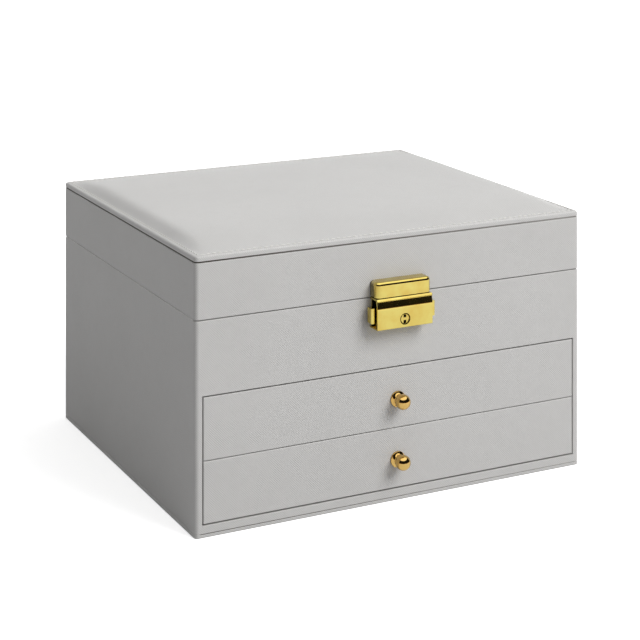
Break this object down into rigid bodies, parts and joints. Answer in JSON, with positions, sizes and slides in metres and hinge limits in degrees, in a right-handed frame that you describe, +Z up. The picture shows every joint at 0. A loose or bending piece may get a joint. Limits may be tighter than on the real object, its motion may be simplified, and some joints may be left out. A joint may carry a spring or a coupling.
{
  "type": "jewellery chest",
  "caption": "Rectangular leatherette jewellery chest with a padded hinged lid, a side-button lock and stacked full-width drawers with small domed knobs.",
  "frame": {"origin": "centre of the flat underside", "axes": "+X to the right seen from the front, +Y from the front to the back, +Z up"},
  "size_m": [0.26, 0.2455, 0.1628],
  "materials": {
    "leatherette": "satin",
    "base_leatherette": "satin",
    "velvet": "matte",
    "foam": "matte",
    "mirror_glass": "polished",
    "steel": "satin",
    "gold_metal": "polished",
    "board": "matte"
  },
  "bodies": {
    "case": {"base_board": "base_leatherette", "case_floor": "board", "case_left_panel": "board", "case_right_panel": "board", "case_back_panel": "board", "case_front_fascia": "board", "tray_shelf": "board", "runner_shelf": "board", "case_cover": "leatherette", "upper_lining": "velvet", "tray_dividers": "velvet", "ring_rolls": "velvet", "hinge_lower_leaves": "gold_metal", "hinge_pins": "gold_metal", "case_hinge_screws": "gold_metal", "lock_body": "gold_metal", "lock_back_plate": "gold_metal", "lock_springs": "steel", "lock_screws": "steel"},
    "lid": {"lid_front_rail": "board", "lid_back_rail": "board", "lid_left_rail": "board", "lid_right_rail": "board", "lid_cover": "leatherette", "top_board": "board", "top_foam": "foam", "top_cover": "leatherette", "lid_lining": "velvet", "mirror": "mirror_glass", "mirror_frame": "velvet", "hinge_upper_leaves": "gold_metal", "lid_hinge_screws": "gold_metal", "lock_hasp": "gold_metal", "hasp_tongue": "steel", "hasp_screws": "steel"},
    "upper_drawer": {"upper_drawer_front": "board", "upper_drawer_front_cover": "leatherette", "upper_drawer_sides": "board", "upper_drawer_back": "board", "upper_drawer_bottom": "board", "upper_drawer_lining": "velvet", "upper_drawer_dividers": "velvet", "upper_drawer_knob": "gold_metal", "upper_knob_screw": "steel"},
    "lower_drawer": {"lower_drawer_front": "board", "lower_drawer_front_cover": "leatherette", "lower_drawer_sides": "board", "lower_drawer_back": "board", "lower_drawer_bottom": "board", "lower_drawer_lining": "velvet", "lower_drawer_dividers": "velvet", "lower_drawer_knob": "gold_metal", "lower_knob_screw": "steel"},
    "lock_button_left": {"lock_button_left": "gold_metal"},
    "lock_button_right": {"lock_button_right": "gold_metal"},
    "lock_plug": {"lock_plug": "gold_metal", "lock_cam": "steel"}
  },
  "joints": [
    {"name": "lid_hinge", "type": "hinge", "parent": "case", "child": "lid", "pos_m": [0, 0.1161, 0.12255], "axis": [-1, 0, 0], "range_deg": [0, 100]},
    {"name": "upper_drawer_slide", "type": "slide", "parent": "case", "child": "upper_drawer", "axis": [0, -1, 0], "range_m": [0, 0.15]},
    {"name": "lower_drawer_slide", "type": "slide", "parent": "case", "child": "lower_drawer", "axis": [0, -1, 0], "range_m": [0, 0.15]},
    {"name": "left_button_press", "type": "slide", "parent": "case", "child": "lock_button_left", "axis": [1, 0, 0], "range_m": [0, 0.002], "stiffness_N_per_m": 300, "springref_m": -0.001, "deforming": ["lock_springs"]},
    {"name": "right_button_press", "type": "slide", "parent": "case", "child": "lock_button_right", "axis": [-1, 0, 0], "range_m": [0, 0.002], "stiffness_N_per_m": 300, "springref_m": -0.001},
    {"name": "key_plug_turn", "type": "hinge", "parent": "case", "child": "lock_plug", "pos_m": [0, -0.12, 0.1101], "axis": [0, 1, 0], "range_deg": [0, 90]}
  ]
}
